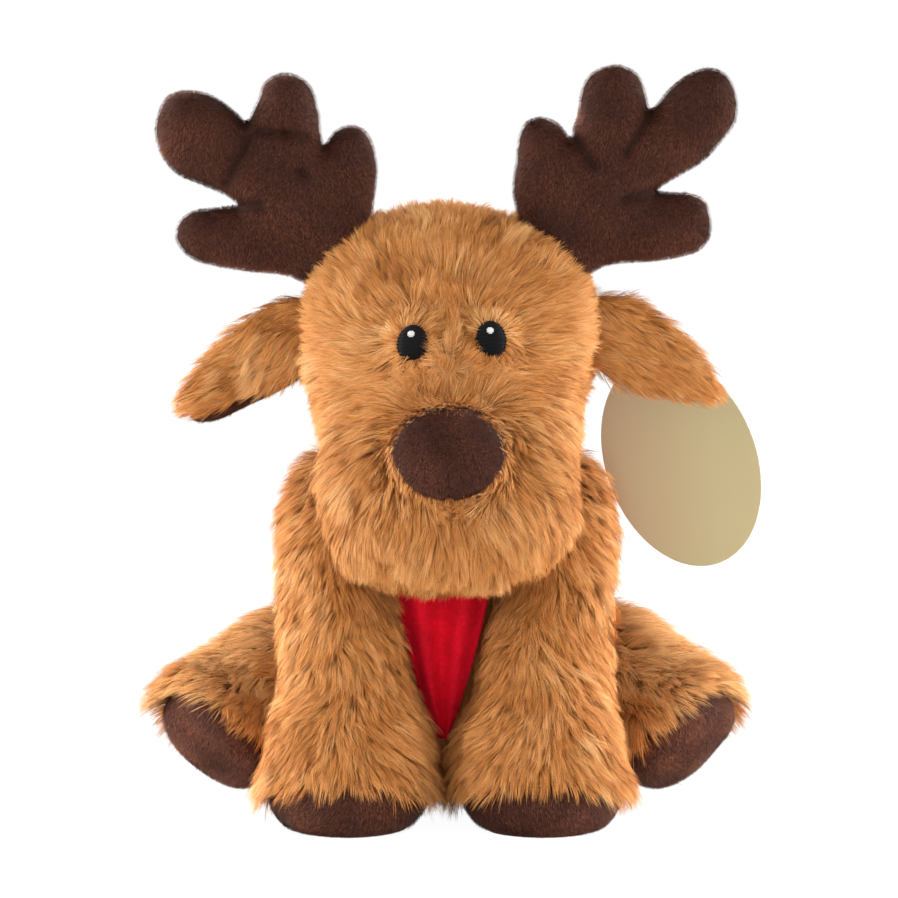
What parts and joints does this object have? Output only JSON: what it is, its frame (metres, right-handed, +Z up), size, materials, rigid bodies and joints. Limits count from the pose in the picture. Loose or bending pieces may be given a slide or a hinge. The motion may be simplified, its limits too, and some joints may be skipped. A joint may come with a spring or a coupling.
{
  "type": "plush deer",
  "caption": "Seated stuffed deer in long-pile fur with flat velboa antlers and soles, a neck bandana and a blank oval swing tag.",
  "frame": {"origin": "middle of the flat seat under the body, on the surface that the deer sits on", "axes": "+Z up, the deer faces -Y, +X is the viewer's right; the deer is symmetrical about the YZ plane apart from its tag"},
  "size_m": [0.1994, 0.1929, 0.2399],
  "materials": {
    "fur": "ginger-brown polyester plush with a long, soft, clumped pile",
    "velboa": "dark brown short-pile velboa with a soft sheen",
    "nose": "dark brown short-pile velboa, gathered into a low dome",
    "filling": "white polyester fibre filling",
    "pellets": "woven pouch of plastic pellets",
    "thread": "dense black satin-stitch embroidery",
    "white_thread": "white satin-stitch embroidery",
    "bandana": "bright red short-pile fleece",
    "card": "smooth olive-gold printed card, blank",
    "clear_plastic": "thin translucent moulded nylon"
  },
  "bodies": {
    "body": {"body_cover": "fur", "body_stuffing": "filling", "pellet_pouch": "pellets", "bandana_band": "bandana", "bandana_knot": "bandana"},
    "neck": {"neck": "fur"},
    "head": {"head_cover": "fur", "head_stuffing": "filling", "nose_patch": "nose", "eye_left": "thread", "eye_glint_left": "white_thread", "eye_right": "thread", "eye_glint_right": "white_thread", "tag_fastener": "clear_plastic"},
    "front_leg_left": {"front_leg_left_cover": "fur", "front_leg_left_sole": "velboa", "front_leg_left_stuffing": "filling"},
    "front_leg_right": {"front_leg_right_cover": "fur", "front_leg_right_sole": "velboa", "front_leg_right_stuffing": "filling"},
    "rear_leg_left": {"rear_leg_left_cover": "fur", "rear_leg_left_sole": "velboa", "rear_leg_left_stuffing": "filling"},
    "rear_leg_right": {"rear_leg_right_cover": "fur", "rear_leg_right_sole": "velboa", "rear_leg_right_stuffing": "filling"},
    "antler_left": {"antler_left_front_panel": "velboa", "antler_left_back_panel": "velboa", "antler_left_stuffing": "filling"},
    "antler_right": {"antler_right_front_panel": "velboa", "antler_right_back_panel": "velboa", "antler_right_stuffing": "filling"},
    "ear_left": {"ear_left_fur": "fur", "ear_left_lining": "velboa"},
    "ear_right": {"ear_right_fur": "fur", "ear_right_lining": "velboa"},
    "tail": {"tail": "fur"},
    "bandana_point": {"bandana_point": "bandana"},
    "swing_tag": {"swing_tag": "card"}
  },
  "joints": [
    {"name": "head_turn", "type": "hinge", "parent": "body", "child": "neck", "pos_m": [0, -0.03, 0.112], "axis": [0, 0, 1], "range_deg": [-12, 12], "stiffness_Nm_per_rad": 0.6},
    {"name": "head_nod", "type": "hinge", "parent": "neck", "child": "head", "pos_m": [0, -0.03, 0.112], "axis": [1, 0, 0], "range_deg": [-6, 3], "stiffness_Nm_per_rad": 2.5},
    {"name": "front_leg_left_swing", "type": "hinge", "parent": "body", "child": "front_leg_left", "pos_m": [0, -0.042, 0.092], "axis": [-1, 0, 0], "range_deg": [-4, 12], "stiffness_Nm_per_rad": 0.8},
    {"name": "front_leg_right_swing", "type": "hinge", "parent": "body", "child": "front_leg_right", "pos_m": [0, -0.042, 0.092], "axis": [-1, 0, 0], "range_deg": [-4, 12], "stiffness_Nm_per_rad": 0.8},
    {"name": "rear_leg_left_swing", "type": "hinge", "parent": "body", "child": "rear_leg_left", "pos_m": [-0.018, 0.01, 0], "axis": [0, 0, -1], "range_deg": [0, 15], "stiffness_Nm_per_rad": 0.8},
    {"name": "rear_leg_right_swing", "type": "hinge", "parent": "body", "child": "rear_leg_right", "pos_m": [0.018, 0.01, 0], "axis": [0, 0, 1], "range_deg": [0, 15], "stiffness_Nm_per_rad": 0.8},
    {"name": "antler_left_flex", "type": "hinge", "parent": "head", "child": "antler_left", "pos_m": [-0.03606, -0.046, 0.1734], "axis": [0, 1, 0], "range_deg": [-8, 8], "stiffness_Nm_per_rad": 0.4},
    {"name": "antler_right_flex", "type": "hinge", "parent": "head", "child": "antler_right", "pos_m": [0.03606, -0.046, 0.1734], "axis": [0, 1, 0], "range_deg": [-8, 8], "stiffness_Nm_per_rad": 0.4},
    {"name": "ear_left_flop", "type": "hinge", "parent": "head", "child": "ear_left", "pos_m": [-0.045, -0.052, 0.1575], "axis": [0, 0, 1], "range_deg": [-8, 40], "stiffness_Nm_per_rad": 0.05},
    {"name": "ear_right_flop", "type": "hinge", "parent": "head", "child": "ear_right", "pos_m": [0.045, -0.052, 0.1575], "axis": [0, 0, -1], "range_deg": [-8, 40], "stiffness_Nm_per_rad": 0.05},
    {"name": "tail_wag", "type": "hinge", "parent": "body", "child": "tail", "pos_m": [0, 0.044, 0.034], "axis": [1, 0, 0], "range_deg": [-12, 12], "stiffness_Nm_per_rad": 0.05},
    {"name": "bandana_lift", "type": "hinge", "parent": "body", "child": "bandana_point", "pos_m": [0, -0.0607, 0.0762], "axis": [-1, 0, 0], "range_deg": [0, 10]},
    {"name": "tag_swing", "type": "hinge", "parent": "head", "child": "swing_tag", "pos_m": [0.066, -0.023, 0.14], "axis": [0, -1, 0], "range_deg": [0, 30]}
  ]
}
